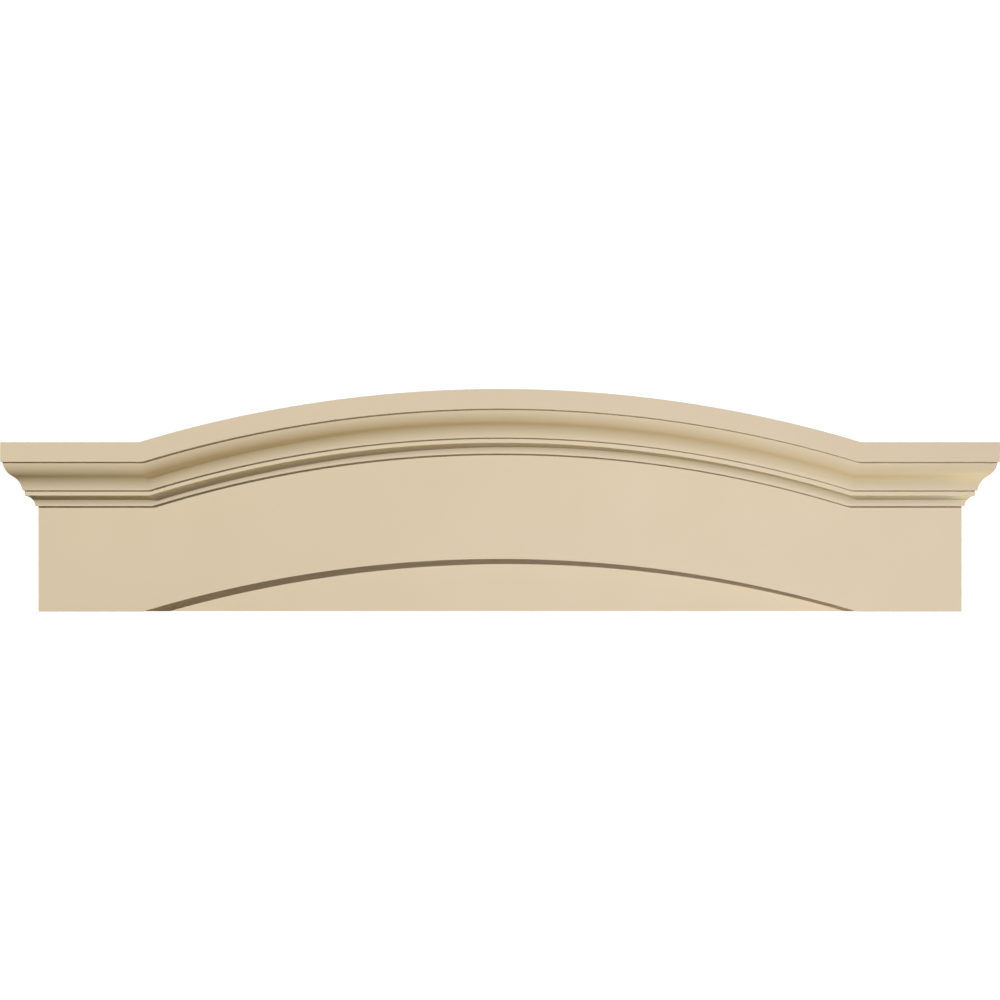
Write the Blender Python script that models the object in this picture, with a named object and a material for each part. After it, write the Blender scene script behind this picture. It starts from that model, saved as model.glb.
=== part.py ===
"""Segmental pediment for a door or window head, cast in one piece of rigid polyurethane foam.

A flat board carries a crown moulding that runs level over the two shoulders, rises over the middle
as a flat segmental arch, and returns to the wall at both ends. The board's lower middle is sunk
behind an arched edge that repeats the curve of the top.

Metres, +Z up, +X along the wall, the face towards -Y. The flat back lies in the plane y = 0, and
the origin is the middle of that back.
"""

import math

import bmesh
import bpy

# The board
BOARD_WIDTH = 1.524
FIELD_THICKNESS = 0.0079
RECESS_DEPTH = 0.0143
FRIEZE_HEIGHT = 0.1739
SHOULDER_LENGTH = 0.1727

# The arch, which the top outline and the recess share
ARCH_RISE = 0.0868
ARCH_SEGMENTS = 44

# The crown moulding, from its foot upwards
FOOT_STEP = 0.0044
CAVETTO_HEIGHT = 0.0175
CAVETTO_PROJECTION = 0.0149
LOWER_FILLET_HEIGHT = 0.0084
OGEE_SETBACK = 0.0033
OGEE_HEIGHT = 0.0465
OGEE_PROJECTION = 0.0281
OGEE_LEAN = math.radians(5)
TOP_FILLET_SETBACK = 0.0033
TOP_FILLET_HEIGHT = 0.0324
CAVETTO_SEGMENTS = 8
OGEE_SEGMENTS = 16

# The cutter stands this far clear of the faces that it opens
CUTTER_CLEARANCE = 0.02
WELD_DISTANCE = 1e-6
SHARP_ANGLE = math.radians(20)

# Colour and finish of the factory primer
PRIMER_COLOUR = (0.69, 0.58, 0.42, 1.0)
PRIMER_ROUGHNESS = 0.55

# Worked out from the sizes above
BOARD_THICKNESS = FIELD_THICKNESS + RECESS_DEPTH
CROWN_HEIGHT = CAVETTO_HEIGHT + LOWER_FILLET_HEIGHT + OGEE_HEIGHT + TOP_FILLET_HEIGHT
TOTAL_HEIGHT = FRIEZE_HEIGHT + CROWN_HEIGHT + ARCH_RISE
ARCH_HALF_SPAN = BOARD_WIDTH / 2 - SHOULDER_LENGTH
ARCH_RADIUS = (ARCH_HALF_SPAN**2 + ARCH_RISE**2) / (2 * ARCH_RISE)
BOTTOM_Z = -TOTAL_HEIGHT / 2
CROWN_FOOT_Z = BOTTOM_Z + FRIEZE_HEIGHT
ARCH_CENTRE_Z = BOTTOM_Z + TOTAL_HEIGHT - ARCH_RADIUS


def clear_scene():
    """Remove whatever the file opened with."""
    for thing in list(bpy.data.objects):
        bpy.data.objects.remove(thing)


def new_collection(name):
    collection = bpy.data.collections.new(name)
    bpy.context.scene.collection.children.link(collection)
    return collection


def primer_material():
    """Tan factory primer with a dull sheen."""
    material = bpy.data.materials.new("tan_primer")
    material.use_nodes = True
    shader = material.node_tree.nodes["Principled BSDF"]
    shader.inputs["Base Color"].default_value = PRIMER_COLOUR
    shader.inputs["Roughness"].default_value = PRIMER_ROUGHNESS
    shader.inputs["Metallic"].default_value = 0.0
    material.diffuse_color = PRIMER_COLOUR
    return material


def hollow_arc(start, end, lean, segments):
    """Points after start, up to end, along an arc that leaves start steeply and bends outwards.

    lean is the arc's angle from upright at start.
    """
    run = end[0] - start[0]
    rise = end[1] - start[1]
    sweep = 2 * (math.atan2(run, rise) - lean)
    radius = math.hypot(run, rise) / (2 * math.sin(sweep / 2))
    points = []
    for step in range(1, segments + 1):
        angle = sweep * step / segments
        across = radius * (math.cos(lean) - math.cos(lean + angle))
        up = radius * (math.sin(lean + angle) - math.sin(lean))
        points.append((start[0] + across, start[1] + up))
    return points


def round_arc(start, end, lean, segments):
    """The same arc turned half round: it leaves start slanting and reaches end steeply."""
    turned = hollow_arc((-end[0], -end[1]), (-start[0], -start[1]), lean, segments)
    backwards = [(-across, -up) for across, up in reversed(turned[:-1])]
    return [*backwards, end]


def crown_profile():
    """(projection beyond the board, height above the foot) of the moulding, foot to top."""
    points = [(0.0, 0.0), (FOOT_STEP, 0.0)]

    cavetto_top = (FOOT_STEP + CAVETTO_PROJECTION, CAVETTO_HEIGHT)
    points += hollow_arc(points[-1], cavetto_top, 0.0, CAVETTO_SEGMENTS)

    fillet_top = CAVETTO_HEIGHT + LOWER_FILLET_HEIGHT
    points.append((cavetto_top[0], fillet_top))

    ogee_foot = (cavetto_top[0] + OGEE_SETBACK, fillet_top)
    ogee_middle = (ogee_foot[0] + OGEE_PROJECTION / 2, ogee_foot[1] + OGEE_HEIGHT / 2)
    ogee_top = (ogee_foot[0] + OGEE_PROJECTION, ogee_foot[1] + OGEE_HEIGHT)
    points.append(ogee_foot)
    points += hollow_arc(ogee_foot, ogee_middle, OGEE_LEAN, OGEE_SEGMENTS // 2)
    points += round_arc(ogee_middle, ogee_top, OGEE_LEAN, OGEE_SEGMENTS // 2)

    face = ogee_top[0] + TOP_FILLET_SETBACK
    points.append((face, ogee_top[1]))
    points.append((face, ogee_top[1] + TOP_FILLET_HEIGHT))
    return points


def arch_points(radius, centre_z, half_span):
    """(x, z) along an arc from -half_span to +half_span, both ends included."""
    reach = math.asin(half_span / radius)
    points = []
    for step in range(ARCH_SEGMENTS + 1):
        angle = reach * (2 * step / ARCH_SEGMENTS - 1)
        points.append((radius * math.sin(angle), centre_z + radius * math.cos(angle)))
    return points


def moulding_row(projection, height):
    """One line of the moulding: wall, corner, shoulder, arch, shoulder, corner, wall.

    All lines of the arch share one centre and all lines of the shoulders are level, so each pair
    meets at its own mitre.
    """
    level_z = CROWN_FOOT_Z + height
    radius = ARCH_RADIUS - (CROWN_HEIGHT - height)
    mitre_x = math.sqrt(radius**2 - (level_z - ARCH_CENTRE_Z) ** 2)
    end_x = BOARD_WIDTH / 2 + projection
    face_y = -(BOARD_THICKNESS + projection)

    row = [(-end_x, 0.0, level_z), (-end_x, face_y, level_z)]
    row += [(x, face_y, z) for x, z in arch_points(radius, ARCH_CENTRE_Z, mitre_x)]
    row += [(end_x, face_y, level_z), (end_x, 0.0, level_z)]
    return row


def pediment_rows():
    """Every line of the skin, from the wall under the board up and over to the wall on top."""
    moulding = [moulding_row(*point) for point in crown_profile()]
    bottom = [(x, y, BOTTOM_Z) for x, y, _ in moulding[0]]
    bottom_at_wall = [(x, 0.0, z) for x, _, z in bottom]
    top_at_wall = [(x, 0.0, z) for x, _, z in moulding[-1]]
    return [bottom_at_wall, bottom, *moulding, top_at_wall]


def pediment_blank():
    """The whole casting before the recess is sunk: a grid bent over the rows, its back filled."""
    rows = pediment_rows()
    columns = len(rows[0])
    mesh = bpy.data.meshes.new("pediment")
    shape = bmesh.new()
    grid = bmesh.ops.create_grid(
        shape, x_segments=columns - 1, y_segments=len(rows) - 1, size=1.0
    )
    for index, vertex in enumerate(grid["verts"]):
        vertex.co = rows[index // columns][index % columns]

    bmesh.ops.remove_doubles(shape, verts=shape.verts, dist=WELD_DISTANCE)
    bmesh.ops.dissolve_degenerate(shape, edges=shape.edges, dist=WELD_DISTANCE)
    back_rim = [edge for edge in shape.edges if edge.is_boundary]
    bmesh.ops.holes_fill(shape, edges=back_rim, sides=0)
    bmesh.ops.recalc_face_normals(shape, faces=shape.faces)
    shape.to_mesh(mesh)
    shape.free()
    return mesh


def recess_outline():
    """(x, z) round the recess, running on below the board so that the cut opens its bottom."""
    arc = arch_points(ARCH_RADIUS, BOTTOM_Z + ARCH_RISE - ARCH_RADIUS, ARCH_HALF_SPAN)
    below = BOTTOM_Z - CUTTER_CLEARANCE
    return [*arc, (ARCH_HALF_SPAN, below), (-ARCH_HALF_SPAN, below)]


def recess_cutter(collection):
    """The arched block that sinks the field: a flat outline, extruded and made a mesh."""
    outline = recess_outline()
    flat = bpy.data.curves.new("recess_outline", "CURVE")
    flat.dimensions = "2D"
    flat.fill_mode = "BOTH"
    flat.extrude = (RECESS_DEPTH + CUTTER_CLEARANCE) / 2
    spline = flat.splines.new("POLY")
    spline.points.add(len(outline) - 1)
    for point, (x, z) in zip(spline.points, outline):
        point.co = (x, z, 0.0, 1.0)
    spline.use_cyclic_u = True

    guide = bpy.data.objects.new("recess_guide", flat)
    collection.objects.link(guide)
    guide.rotation_euler = (math.radians(90), 0.0, 0.0)
    guide.location = (0.0, -FIELD_THICKNESS - flat.extrude, 0.0)
    bpy.context.view_layer.update()

    evaluated = guide.evaluated_get(bpy.context.evaluated_depsgraph_get())
    mesh = bpy.data.meshes.new_from_object(evaluated)
    shape = bmesh.new()
    shape.from_mesh(mesh)
    bmesh.ops.remove_doubles(shape, verts=shape.verts, dist=WELD_DISTANCE)
    bmesh.ops.recalc_face_normals(shape, faces=shape.faces)
    shape.to_mesh(mesh)
    shape.free()

    cutter = bpy.data.objects.new("recess_cutter", mesh)
    collection.objects.link(cutter)
    cutter.matrix_world = guide.matrix_world
    cutter.hide_render = True
    cutter.display_type = "WIRE"
    bpy.data.objects.remove(guide)
    return cutter


def sink_field(pediment, cutter):
    """Cut the recess and keep the result, so that its new edges are shaded sharp as well."""
    sink = pediment.modifiers.new("sunk field", "BOOLEAN")
    sink.operation = "DIFFERENCE"
    sink.solver = "EXACT"
    sink.object = cutter
    bpy.context.view_layer.update()
    evaluated = pediment.evaluated_get(bpy.context.evaluated_depsgraph_get())
    mesh = bpy.data.meshes.new_from_object(evaluated)
    pediment.modifiers.remove(sink)
    pediment.data = mesh


def build_pediment():
    parts = new_collection("segmental_pediment")
    cutters = new_collection("cutters")
    pediment = bpy.data.objects.new("pediment", pediment_blank())
    parts.objects.link(pediment)
    sink_field(pediment, recess_cutter(cutters))

    mesh = pediment.data
    mesh.materials.clear()
    mesh.materials.append(primer_material())
    mesh.shade_smooth()
    mesh.set_sharp_from_angle(angle=SHARP_ANGLE)
    return pediment


clear_scene()
build_pediment()
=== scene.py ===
import math
from functools import partial

import bpy
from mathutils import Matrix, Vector


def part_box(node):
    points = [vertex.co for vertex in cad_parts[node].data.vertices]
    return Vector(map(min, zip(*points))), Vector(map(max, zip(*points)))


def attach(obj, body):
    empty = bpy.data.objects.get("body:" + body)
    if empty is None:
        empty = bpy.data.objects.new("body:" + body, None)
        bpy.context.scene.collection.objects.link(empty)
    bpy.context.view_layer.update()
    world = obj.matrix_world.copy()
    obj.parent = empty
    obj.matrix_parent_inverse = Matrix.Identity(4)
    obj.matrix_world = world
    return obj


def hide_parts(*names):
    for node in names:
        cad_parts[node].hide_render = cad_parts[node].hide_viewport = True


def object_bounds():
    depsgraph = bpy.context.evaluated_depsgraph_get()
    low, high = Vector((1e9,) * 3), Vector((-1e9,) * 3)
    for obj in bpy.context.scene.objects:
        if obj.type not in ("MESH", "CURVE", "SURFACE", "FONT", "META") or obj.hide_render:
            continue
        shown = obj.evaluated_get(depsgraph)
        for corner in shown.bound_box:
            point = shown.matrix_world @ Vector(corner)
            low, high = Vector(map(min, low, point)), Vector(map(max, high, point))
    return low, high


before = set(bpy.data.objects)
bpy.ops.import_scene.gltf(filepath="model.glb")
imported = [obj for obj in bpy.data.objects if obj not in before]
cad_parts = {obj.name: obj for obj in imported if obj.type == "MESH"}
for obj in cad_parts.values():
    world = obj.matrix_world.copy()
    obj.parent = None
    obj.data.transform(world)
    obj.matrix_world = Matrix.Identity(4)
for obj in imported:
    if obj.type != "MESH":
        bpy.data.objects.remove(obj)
cad_low, cad_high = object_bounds()

# The pediment is one casting of rigid polyurethane foam with a tan factory primer. Its crown is one
# section run along a level, arched and level line, mitred where they meet and returned to the wall
# at both ends, and its board is sunk in the middle. It leaves the mould with slightly eased arrises.
BOARD_WIDTH = 1.524
FIELD_THICKNESS = 0.0079
BOARD_THICKNESS = 0.0222
FRIEZE_HEIGHT = 0.1739
SHOULDER_LENGTH = 0.1727
ARCH_RISE = 0.0868

FOOT_STEP = 0.0044
CAVETTO_HEIGHT = 0.0175
CAVETTO_PROJECTION = 0.0149
LOWER_FILLET_HEIGHT = 0.0084
OGEE_SETBACK = 0.0033
OGEE_HEIGHT = 0.0465
OGEE_PROJECTION = 0.0281
OGEE_LEAN = math.radians(5)
TOP_FILLET_SETBACK = 0.0033
TOP_FILLET_HEIGHT = 0.0324
CAVETTO_STEPS = 16
OGEE_STEPS = 13

ARRIS_RADIUS = 0.0004
ARRIS_MARGIN = 0.0003
ARRIS_STEPS = 4

SPRING_X = BOARD_WIDTH / 2 - SHOULDER_LENGTH
ARCH_RADIUS = (SPRING_X**2 + ARCH_RISE**2) / (2 * ARCH_RISE)
CROWN_HEIGHT = CAVETTO_HEIGHT + LOWER_FILLET_HEIGHT + OGEE_HEIGHT + TOP_FILLET_HEIGHT
BOTTOM_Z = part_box("pediment")[0].z
SHOULDER_Z = BOTTOM_Z + FRIEZE_HEIGHT + CROWN_HEIGHT


def hollow_arc(start, end, lean, steps):
    """Points after start, up to end, on an arc that leaves start at lean from upright."""
    run, rise = end - start
    sweep = 2 * (math.atan2(run, rise) - lean)
    radius = math.hypot(run, rise) / (2 * math.sin(sweep / 2))
    points = []
    for step in range(1, steps + 1):
        angle = lean + sweep * step / steps
        across = radius * (math.cos(lean) - math.cos(angle))
        up = radius * (math.sin(angle) - math.sin(lean))
        points.append(start + Vector((across, up)))
    return points


def round_arc(start, end, lean, steps):
    """The same arc turned half round, so that it reaches end at lean from upright."""
    turned = hollow_arc(-end, -start, lean, steps)
    return [-point for point in reversed(turned[:-1])] + [end]


def plain(points):
    """Points of the section that get no rubbed wear and no painted highlight."""
    return [(point, 0.0) for point in points]


def eased(before, corner, after):
    """A small round over an arris, worn most in its middle, where it is also painted lighter as a
    highlight.

    A line close by on each side keeps the flats flat.
    """
    back = (before - corner).normalized()
    on = (after - corner).normalized()
    points = plain([corner + back * (ARRIS_RADIUS + ARRIS_MARGIN)])
    for step in range(ARRIS_STEPS + 1):
        share = step / ARRIS_STEPS
        point = corner + ARRIS_RADIUS * (back * (1 - share) ** 2 + on * share**2)
        points.append((point, 4 * share * (1 - share)))
    return points + plain([corner + on * (ARRIS_RADIUS + ARRIS_MARGIN)])


def crown_section():
    """The crown's points from its foot to the wall, each with how much it is worn and painted lighter as
    a highlight.

    A point is its distance from the wall and its height against the shoulder's top.
    """
    nook = Vector((BOARD_THICKNESS, -CROWN_HEIGHT))
    foot = nook + Vector((FOOT_STEP, 0))
    cavetto_top = foot + Vector((CAVETTO_PROJECTION, CAVETTO_HEIGHT))
    fillet_top = cavetto_top + Vector((0, LOWER_FILLET_HEIGHT))
    ogee_foot = fillet_top + Vector((OGEE_SETBACK, 0))
    ogee_top = ogee_foot + Vector((OGEE_PROJECTION, OGEE_HEIGHT))
    ogee_middle = (ogee_foot + ogee_top) / 2
    drip = ogee_top + Vector((TOP_FILLET_SETBACK, 0))
    top = drip + Vector((0, TOP_FILLET_HEIGHT))
    wall = Vector((0, 0))

    cavetto = hollow_arc(foot, cavetto_top, 0, CAVETTO_STEPS)[:-1]
    ogee = hollow_arc(ogee_foot, ogee_middle, OGEE_LEAN, OGEE_STEPS)
    ogee += round_arc(ogee_middle, ogee_top, OGEE_LEAN, OGEE_STEPS)
    return [
        *plain([nook]),
        *eased(nook, foot, cavetto[0]),
        *plain(cavetto),
        *eased(cavetto[-1], cavetto_top, fillet_top),
        *plain([fillet_top]),
        *eased(fillet_top, ogee_foot, ogee[0]),
        *plain(ogee),
        *eased(ogee_top, drip, top),
        *eased(drip, top, wall),
        *plain([wall]),
    ]


def section_line():
    """The whole section as a line of points at the wall, from under the board to the top.

    guide is the level that a point's line keeps its distance to. arched is 0 for a line that runs
    straight under the arch. The last value, from 0 to 1, is how much the fitter's hands and packing
    wear it, and also how much painted highlight it gets on the arrises.
    """
    field_edge = Vector((FIELD_THICKNESS, 0))
    board_edge = Vector((BOARD_THICKNESS, 0))
    above = board_edge + Vector((0, FRIEZE_HEIGHT))
    rows = [(Vector((0, 0)), BOTTOM_Z, 0.0, 0.0), (field_edge, BOTTOM_Z, 0.0, 0.0)]
    rows += [(field_edge, BOTTOM_Z, 1.0, 0.0)]
    rows += [(point, BOTTOM_Z, 1.0, wear_and_highlight) for point, wear_and_highlight in eased(field_edge, board_edge, above)]
    rows += [(point, SHOULDER_Z, 1.0, wear_and_highlight) for point, wear_and_highlight in crown_section()]

    line = bpy.data.meshes.new("pediment_section")
    line.from_pydata([(0, -point.x, guide + point.y) for point, guide, _, _ in rows], [], [])
    for name, column in (("guide", 1), ("arched", 2), ("rubbed", 3)):
        values = line.attributes.new(name, "FLOAT", "POINT")
        values.data.foreach_set("value", [row[column] for row in rows])
    return line


casting = bpy.data.node_groups.new("pediment_casting", "GeometryNodeTree")
casting.is_modifier = True
casting_sizes = {
    "Board Width": BOARD_WIDTH,
    "Board Thickness": BOARD_THICKNESS,
    "Arch Rise": ARCH_RISE,
    "Arch Radius": ARCH_RADIUS,
    "Arris Radius": ARRIS_RADIUS,
}
casting_steps = {"Arch Steps": 90, "Shoulder Steps": 8, "Corner Steps": 5, "Side Steps": 4}
casting.interface.new_socket("Geometry", in_out="OUTPUT", socket_type="NodeSocketGeometry")
casting.interface.new_socket("Section", in_out="INPUT", socket_type="NodeSocketGeometry")
casting_inputs = {}
for name, value in casting_sizes.items():
    socket = casting.interface.new_socket(name, in_out="INPUT", socket_type="NodeSocketFloat")
    casting_inputs[socket.identifier] = value
for name, value in casting_steps.items():
    socket = casting.interface.new_socket(name, in_out="INPUT", socket_type="NodeSocketInt")
    casting_inputs[socket.identifier] = value
finish_socket = casting.interface.new_socket("Finish", in_out="INPUT", socket_type="NodeSocketMaterial")


def feed(tree, socket, value):
    """Give a socket a number, or the link from another socket."""
    if isinstance(value, bpy.types.NodeSocket):
        tree.links.new(value, socket)
    else:
        socket.default_value = value


def node(tree, kind, settings=None, **inputs):
    """A new node of a tree, with its settings and its inputs by name."""
    made = tree.nodes.new(kind)
    for name, value in (settings or {}).items():
        setattr(made, name, value)
    for name, value in inputs.items():
        feed(tree, made.inputs[name.replace("_", " ")], value)
    return made


def sum_of(tree, operation, *terms):
    """The result of one sum on numbers or sockets."""
    made = tree.nodes.new("ShaderNodeMath")
    made.operation = operation
    for socket, term in zip(made.inputs, terms):
        feed(tree, socket, term)
    return made.outputs[0]


step = partial(node, casting)
calc = partial(sum_of, casting)


def share_past(count, start, span):
    """How far count is from start towards start + span, held between 0 and 1."""
    share = calc("DIVIDE", calc("SUBTRACT", count, start), span)
    share.node.use_clamp = True
    return share


given = casting.nodes.new("NodeGroupInput").outputs
section = given["Section"]

# A flat grid, with a row for each point of the section and its columns counted from the middle
half_columns = calc("ADD", calc("ADD", given["Arch Steps"], given["Shoulder Steps"]),
                    calc("ADD", given["Corner Steps"], given["Side Steps"]))
columns = calc("ADD", calc("MULTIPLY", half_columns, 2.0), 1.0)
rows = step("GeometryNodeAttributeDomainSize", Geometry=section).outputs["Point Count"]
last_row = calc("SUBTRACT", rows, 1.0)
grid = step("GeometryNodeMeshGrid", Size_X=calc("SUBTRACT", columns, 1.0), Size_Y=last_row,
            Vertices_X=columns, Vertices_Y=rows)
place = step("ShaderNodeSeparateXYZ", Vector=step("GeometryNodeInputPosition").outputs[0]).outputs
row = calc("ROUND", calc("ADD", place["Y"], calc("MULTIPLY", last_row, 0.5)))
column = calc("ROUND", calc("ABSOLUTE", place["X"]))


def of_section(value, kind="FLOAT"):
    """What the section says at this row."""
    return step("GeometryNodeSampleIndex", {"data_type": kind}, Geometry=section, Value=value,
                Index=row).outputs["Value"]


def named(attribute, kind="FLOAT"):
    """An attribute of whichever mesh reads it."""
    reader = step("GeometryNodeInputNamedAttribute", {"data_type": kind}, Name=attribute)
    return reader.outputs["Attribute"]


def stored(geometry, attribute, kind, domain, value):
    """The geometry with a value kept on each of its points or faces."""
    settings = {"data_type": kind, "domain": domain}
    return step("GeometryNodeStoreNamedAttribute", settings, Geometry=geometry, Name=attribute,
                Value=value).outputs[0]


point = step("ShaderNodeSeparateXYZ",
             Vector=of_section(step("GeometryNodeInputPosition").outputs[0], "FLOAT_VECTOR")).outputs
out = calc("MULTIPLY", point["Y"], -1.0)
level = point["Z"]
guide = of_section(named("guide"))
arched = of_section(named("arched"))

# The row's arc, concentric with its guide's, and where it springs from the level part
radius = calc("ADD", given["Arch Radius"], calc("SUBTRACT", level, guide))
centre = calc("SUBTRACT", calc("ADD", guide, given["Arch Rise"]), given["Arch Radius"])
drop = calc("SUBTRACT", level, centre)
spring = calc("SQRT", calc("SUBTRACT", calc("MULTIPLY", radius, radius), calc("MULTIPLY", drop, drop)))

# How far this column is along the arch, the shoulder, round the corner and back along the side
along_arch = share_past(column, 0.0, given["Arch Steps"])
shoulder_start = given["Arch Steps"]
along_shoulder = share_past(column, shoulder_start, given["Shoulder Steps"])
corner_start = calc("ADD", shoulder_start, given["Shoulder Steps"])
round_corner = share_past(column, corner_start, given["Corner Steps"])
side_start = calc("ADD", corner_start, given["Corner Steps"])
along_side = share_past(column, side_start, given["Side Steps"])

# Columns crowd towards the corner from both sides
CROWDING = 3.0
near_corner = calc("SUBTRACT", 1.0, calc("POWER", calc("SUBTRACT", 1.0, along_shoulder), CROWDING))
past_corner = calc("POWER", along_side, CROWDING)

turn = calc("MULTIPLY", round_corner, math.pi / 2)
bearing = calc("MULTIPLY", along_arch, calc("ARCSINE", calc("DIVIDE", spring, radius)))
arris = calc("MINIMUM", given["Arris Radius"], out)
half_width = calc("MULTIPLY", given["Board Width"], 0.5)
end_x = calc("ADD", half_width, calc("SUBTRACT", out, given["Board Thickness"]))
level_run = calc("SUBTRACT", calc("SUBTRACT", end_x, arris), spring)
from_middle = calc("ADD", calc("ADD", calc("MULTIPLY", radius, calc("SINE", bearing)),
                               calc("MULTIPLY", near_corner, level_run)),
                   calc("MULTIPLY", arris, calc("SINE", turn)))
depth = calc("ADD", calc("MULTIPLY", calc("SUBTRACT", out, arris), calc("SUBTRACT", 1.0, past_corner)),
             calc("MULTIPLY", arris, calc("COSINE", turn)))
arch_z = calc("ADD", centre, calc("MULTIPLY", radius, calc("COSINE", bearing)))
height = calc("ADD", level, calc("MULTIPLY", arched, calc("SUBTRACT", arch_z, level)))
bent = step("ShaderNodeCombineXYZ", X=calc("MULTIPLY", from_middle, calc("SIGN", place["X"])),
            Y=calc("MULTIPLY", depth, -1.0), Z=height).outputs[0]

# The column where the arch ends is the mitre, and the arrises and the two corners are worn and get a
# painted highlight
SAME_COLUMN = 0.25
WELD = 2e-6
at_mitre = step("FunctionNodeCompare", {"data_type": "FLOAT", "operation": "EQUAL"}, Epsilon=SAME_COLUMN)
casting.links.new(column, at_mitre.inputs["A"])
casting.links.new(given["Arch Steps"], at_mitre.inputs["B"])
corner_wear_and_highlight = calc("MULTIPLY", calc("MULTIPLY", round_corner, 4.0), calc("SUBTRACT", 1.0, round_corner))
wear_and_highlight = calc("MAXIMUM", of_section(named("rubbed")), corner_wear_and_highlight)
marked = stored(grid.outputs["Mesh"], "mitre", "BOOLEAN", "POINT", at_mitre.outputs["Result"])
marked = stored(marked, "rubbed", "FLOAT", "POINT", wear_and_highlight)
skin = step("GeometryNodeSetPosition", Geometry=marked, Position=bent).outputs[0]
skin = step("GeometryNodeMergeByDistance", Geometry=skin, Distance=WELD).outputs[0]

# The flat back: the open rim is laid down, filled, stood up again and joined on
RIM_FACES_BELOW = 1.5
faces_beside = step("GeometryNodeInputMeshEdgeNeighbors").outputs["Face Count"]
on_rim = calc("LESS_THAN", faces_beside, RIM_FACES_BELOW)
rim = step("GeometryNodeMeshToCurve", Mesh=skin, Selection=on_rim).outputs[0]
laid = step("GeometryNodeTransform", Geometry=rim, Rotation=(-math.pi / 2, 0, 0)).outputs[0]
filled = step("GeometryNodeFillCurve", {"mode": "NGONS"}, Curve=laid).outputs[0]
stood = step("GeometryNodeTransform", Geometry=filled, Rotation=(math.pi / 2, 0, 0)).outputs[0]
back = step("GeometryNodeFlipFaces", Mesh=stood).outputs[0]
back = stored(back, "planed", "FLOAT", "FACE", 1.0)
joined = step("GeometryNodeJoinGeometry")
casting.links.new(skin, joined.inputs[0])
casting.links.new(back, joined.inputs[0])
closed = step("GeometryNodeMergeByDistance", Geometry=joined.outputs[0], Distance=WELD).outputs[0]

# Smooth over the curves, and crisp at the mitres and at every inside corner
SHARP_FROM = math.radians(40)
edge_angle = step("GeometryNodeInputMeshEdgeAngle").outputs["Unsigned Angle"]
crisp = step("FunctionNodeBooleanMath", {"operation": "OR"})
casting.links.new(calc("GREATER_THAN", edge_angle, SHARP_FROM), crisp.inputs[0])
casting.links.new(named("mitre", "BOOLEAN"), crisp.inputs[1])
smooth = step("GeometryNodeSetShadeSmooth", {"domain": "FACE"}, Geometry=closed,
              Shade_Smooth=True).outputs[0]
shaded = step("GeometryNodeSetShadeSmooth", {"domain": "EDGE"}, Geometry=smooth,
              Selection=crisp.outputs[0], Shade_Smooth=False).outputs[0]
real = step("GeometryNodeRealizeInstances", Geometry=shaded).outputs[0]
finished = step("GeometryNodeSetMaterial", Geometry=real, Material=given["Finish"]).outputs[0]
casting.links.new(finished, casting.nodes.new("NodeGroupOutput").inputs["Geometry"])

# Sprayed tan primer, a little thicker here and thinner there, with a fine spray texture over the
# faint waves of a casting. It is rubbed thin on the arrises, and painted lighter there as a highlight.
# The back is foam that was planed flat.
THICK_COAT = (0.676, 0.564, 0.403, 1.0)
THIN_COAT = (0.704, 0.596, 0.437, 1.0)
WORN_AND_HIGHLIT_COAT = (0.77, 0.68, 0.52, 1.0)
BARE_FOAM = (0.74, 0.67, 0.50, 1.0)
FRESH_FOAM = (0.80, 0.74, 0.58, 1.0)
PORE_COLOUR = (0.52, 0.43, 0.29, 1.0)
PRIMER_ROUGHNESS = 0.55
FOAM_ROUGHNESS = 0.82
ROUGHNESS_SWING = 0.12
CLOUDS_PER_METRE = 7.0
SPRAY_PER_METRE = 520.0
WAVES_PER_METRE = 14.0
WEAR_AND_HIGHLIGHT_CHIPS_PER_METRE = 130.0
PORES_PER_METRE = 380.0
PLANE_MARKS_PER_METRE = (2.5, 1.0, 240.0)
CLOUD_DETAIL = 3.0
WEAR_AND_HIGHLIGHT_CHIP_DETAIL = 2.0
PLANE_MARK_DETAIL = 2.0
PLAIN_DETAIL = 1.0
SPRAY_HEIGHT = 0.000012
WAVE_HEIGHT = 0.00006
PLANE_MARK_HEIGHT = 0.00004
PORE_DEPTH = 0.00025
PORE_SIZE = 0.24
WORN_AND_HIGHLIT_FROM = 0.42
WORN_AND_HIGHLIT_TO = 0.75
WORN_AND_HIGHLIT_SHARE = 0.6
OVERSPRAY_FROM = 0.42
OVERSPRAY_TO = 0.62
OVERSPRAY_SHARE = 0.55
PLANE_MARKS_FROM = 0.3
PLANE_MARKS_TO = 0.7
primer =bpy.data.materials.new("tan_primer")
primer.use_nodes = True
coat = partial(node, primer.node_tree)
mix = partial(sum_of, primer.node_tree)


def noise(scale, detail, place):
    """Soft noise from 0 to 1, with scale spots to a metre."""
    return coat("ShaderNodeTexNoise", Vector=place, Scale=scale, Detail=detail).outputs["Fac"]


def between(low, high, value):
    """How far value is from low to high, held between 0 and 1."""
    return coat("ShaderNodeMapRange", Value=value, From_Min=low, From_Max=high).outputs["Result"]


def over(share, below, above):
    """The colour above laid over the colour below, as thickly as share says.

    The node has sockets of one name for each kind of value, so they are told apart by number.
    """
    made = coat("ShaderNodeMix", {"data_type": "RGBA"})
    for socket, value in ((0, share), (6, below), (7, above)):
        feed(primer.node_tree, made.inputs[socket], value)
    return made.outputs[2]


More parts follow.
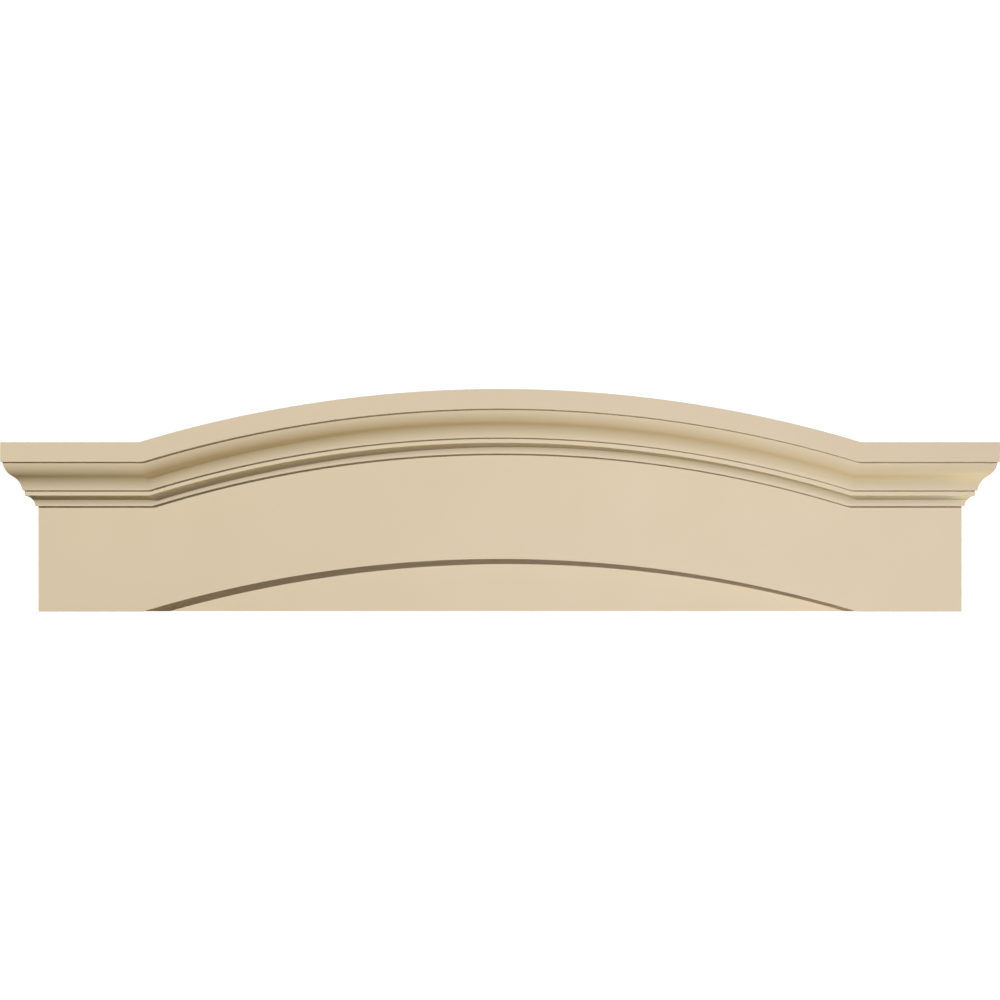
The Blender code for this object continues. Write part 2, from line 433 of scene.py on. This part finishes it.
on_casting = coat("ShaderNodeTexCoord").outputs["Object"]
planed = coat("ShaderNodeAttribute", {"attribute_name": "planed"}).outputs["Fac"]
rubbed = coat("ShaderNodeAttribute", {"attribute_name": "rubbed"}).outputs["Fac"]
cloud = noise(CLOUDS_PER_METRE, CLOUD_DETAIL, on_casting)
spray = noise(SPRAY_PER_METRE, PLAIN_DETAIL, on_casting)
wave = noise(WAVES_PER_METRE, PLAIN_DETAIL, on_casting)
chipped_wear_and_highlight = mix("MULTIPLY", rubbed, noise(WEAR_AND_HIGHLIGHT_CHIPS_PER_METRE, WEAR_AND_HIGHLIGHT_CHIP_DETAIL, on_casting))
thin_and_highlit = mix("MULTIPLY", between(WORN_AND_HIGHLIT_FROM, WORN_AND_HIGHLIT_TO, chipped_wear_and_highlight), WORN_AND_HIGHLIT_SHARE)
stretched = coat("ShaderNodeMapping", Vector=on_casting, Scale=PLANE_MARKS_PER_METRE).outputs["Vector"]
plane_marks = noise(1.0, PLANE_MARK_DETAIL, stretched)
cells = coat("ShaderNodeTexVoronoi", Vector=on_casting, Scale=PORES_PER_METRE).outputs["Distance"]
pores = mix("MULTIPLY", planed, between(PORE_SIZE, 0.5 * PORE_SIZE, cells))

# The lighter coat on the arrises and corners is partly rubbed wear and partly a painted highlight.
primed = over(thin_and_highlit, over(cloud, THICK_COAT, THIN_COAT), WORN_AND_HIGHLIT_COAT)
overspray = mix("MULTIPLY", between(OVERSPRAY_FROM, OVERSPRAY_TO, cloud), OVERSPRAY_SHARE)
bare = over(between(PLANE_MARKS_FROM, PLANE_MARKS_TO, plane_marks), FRESH_FOAM, BARE_FOAM)
foam = over(overspray, bare, THICK_COAT)
surface = over(pores, over(planed, primed, foam), PORE_COLOUR)

unevenness = mix("SUBTRACT", mix("MULTIPLY", mix("ADD", cloud, spray), 0.5), 0.5)
swing = mix("MULTIPLY", unevenness, ROUGHNESS_SWING)
dullness = mix("MULTIPLY_ADD", planed, FOAM_ROUGHNESS - PRIMER_ROUGHNESS, PRIMER_ROUGHNESS)
roughness = mix("ADD", swing, dullness)

# Heights in metres
on_face = mix("MULTIPLY_ADD", spray, SPRAY_HEIGHT, mix("MULTIPLY", wave, WAVE_HEIGHT))
on_back = mix("MULTIPLY_ADD", plane_marks, mix("MULTIPLY", planed, PLANE_MARK_HEIGHT),
              mix("MULTIPLY", pores, -PORE_DEPTH))
relief = coat("ShaderNodeBump", Height=mix("ADD", on_face, on_back), Strength=1.0, Distance=1.0)
primer_shader = primer.node_tree.nodes["Principled BSDF"]
feed(primer.node_tree, primer_shader.inputs["Base Color"], surface)
feed(primer.node_tree, primer_shader.inputs["Roughness"], roughness)
feed(primer.node_tree, primer_shader.inputs["Normal"], relief.outputs["Normal"])

template = bpy.data.objects.new("pediment_template", section_line())
bpy.context.scene.collection.objects.link(template)
run_section = template.modifiers.new("pediment casting", "NODES")
run_section.node_group = casting
for identifier, value in casting_inputs.items():
    run_section[identifier] = value
run_section[finish_socket.identifier] = primer
evaluated = template.evaluated_get(bpy.context.evaluated_depsgraph_get())
body = bpy.data.meshes.new_from_object(evaluated)
body.name = "pediment_casting"
pediment = bpy.data.objects.new("pediment_casting", body)
bpy.context.scene.collection.objects.link(pediment)
template.modifiers.remove(run_section)
bpy.data.objects.remove(template)
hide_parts("pediment")
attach(pediment, "root")

# The camera looks level at the face from straight in front, through a long lens.
PHOTO_PIXELS = 1000
FOCAL_PIXELS = 2836
METRES_PER_PIXEL = 0.0016318
AXIS_BELOW_TOP_PIXELS = 111.1
SENSOR_WIDTH = 36.0
camera_data = bpy.data.cameras.new("camera")
camera_data.sensor_width = SENSOR_WIDTH
camera_data.lens = SENSOR_WIDTH * FOCAL_PIXELS / PHOTO_PIXELS
camera = bpy.data.objects.new("camera", camera_data)
bpy.context.scene.collection.objects.link(camera)
camera.location = (
    0.0,
    cad_low.y - FOCAL_PIXELS * METRES_PER_PIXEL,
    cad_high.z - AXIS_BELOW_TOP_PIXELS * METRES_PER_PIXEL,
)
camera.rotation_euler = (math.radians(90), 0.0, 0.0)
bpy.context.scene.camera = camera

# The lights are a crisp key from the upper left, a cool broad panel close to the right end, a warm
# one under the casting, a broad light for the back and weak fills in front and at the sides. All of
# them face the middle of the wall, and each colour is what the light gives there, in equal units.
KEY_SPREAD = math.radians(0.8)
SOFT_SPREAD = math.radians(30)
BACK_SPREAD = math.radians(60)
PANEL_WIDTH = 0.7
FAR_LIGHTS = {
    "key": ((-0.88, -1.0, 0.62), KEY_SPREAD, (1.14, 1.13, 1.13)),
    "right_side_fill": ((0.90, -0.42, 0.12), SOFT_SPREAD, (0.15, 0.14, 0.12)),
    "back_fill": ((-0.25, 1.0, 0.35), BACK_SPREAD, (0.70, 0.70, 0.70)),
}
PANEL_LIGHTS = {
    "front_fill": ((0.43, -1.18, -0.34), (0.135, 0.130, 0.135)),
    "underside_fill": ((1.00, 0.18, -2.18), (0.40, 0.31, 0.08)),
    "cool_rim": ((1.22, 0.12, -0.50), (0.16, 0.21, 0.30)),
    "left_fill": ((-1.46, -0.85, 0.62), (0.045, 0.038, 0.005)),
}


def hang_light(name, kind, place, strength, tint):
    """A light that gives the middle of the wall strength times tint, and that isn't seen itself."""
    brightest = max(tint)
    data = bpy.data.lights.new(name, kind)
    data.energy = strength * brightest
    data.color = [channel / brightest for channel in tint]
    light = bpy.data.objects.new(name, data)
    bpy.context.scene.collection.objects.link(light)
    light.location = place
    light.rotation_euler = (-Vector(place)).to_track_quat("-Z", "Y").to_euler()
    light.visible_camera = False
    return data


for name, (place, spread, tint) in FAR_LIGHTS.items():
    hang_light(name, "SUN", place, math.pi, tint).angle = spread
for name, (place, tint) in PANEL_LIGHTS.items():
    panel = hang_light(name, "AREA", place, 4 * math.pi * Vector(place).length_squared, tint)
    panel.shape = "DISK"
    panel.size = PANEL_WIDTH

# The floor is a plain white disc, as far below as the floor under a door head, and the room behind
# is white too. Both only show to the camera, so they throw no light back on the casting, and the
# floor is clear from underneath.
FLOOR_BELOW = 2.4
FLOOR_RADIUS = 14.0
FLOOR_STEPS = 96
FULL_WHITE = 1.1
white = bpy.data.materials.new("white_floor")
white.use_nodes = True
white.node_tree.nodes.remove(white.node_tree.nodes["Principled BSDF"])
paint = partial(node, white.node_tree)
glow = paint("ShaderNodeEmission", Strength=FULL_WHITE).outputs[0]
clear = paint("ShaderNodeBsdfTransparent").outputs[0]
from_below = paint("ShaderNodeNewGeometry").outputs["Backfacing"]
one_sided = paint("ShaderNodeMixShader")
for socket, value in zip(one_sided.inputs, (from_below, glow, clear)):
    feed(white.node_tree, socket, value)
feed(white.node_tree, white.node_tree.nodes["Material Output"].inputs["Surface"], one_sided.outputs[0])

floor_rim = []
for index in range(FLOOR_STEPS):
    angle = math.tau * index / FLOOR_STEPS
    floor_rim.append((FLOOR_RADIUS * math.cos(angle), FLOOR_RADIUS * math.sin(angle), -FLOOR_BELOW))
disc = bpy.data.meshes.new("studio_floor")
disc.from_pydata(floor_rim, [], [list(range(FLOOR_STEPS))])
disc.materials.append(white)
floor = bpy.data.objects.new("studio_floor", disc)
bpy.context.scene.collection.objects.link(floor)
floor.visible_diffuse = False
floor.visible_glossy = False
floor.visible_transmission = False
floor.visible_shadow = False

room = bpy.data.worlds.new("white_room")
bpy.context.scene.world = room
room.use_nodes = True
seen = room.node_tree.nodes["Background"]
seen.inputs["Color"].default_value = (1.0, 1.0, 1.0, 1.0)
to_camera = node(room.node_tree, "ShaderNodeLightPath").outputs["Is Camera Ray"]
seen_strength = sum_of(room.node_tree, "MULTIPLY", to_camera, FULL_WHITE)
feed(room.node_tree, seen.inputs["Strength"], seen_strength)
bpy.context.scene.view_settings.view_transform = "Standard"
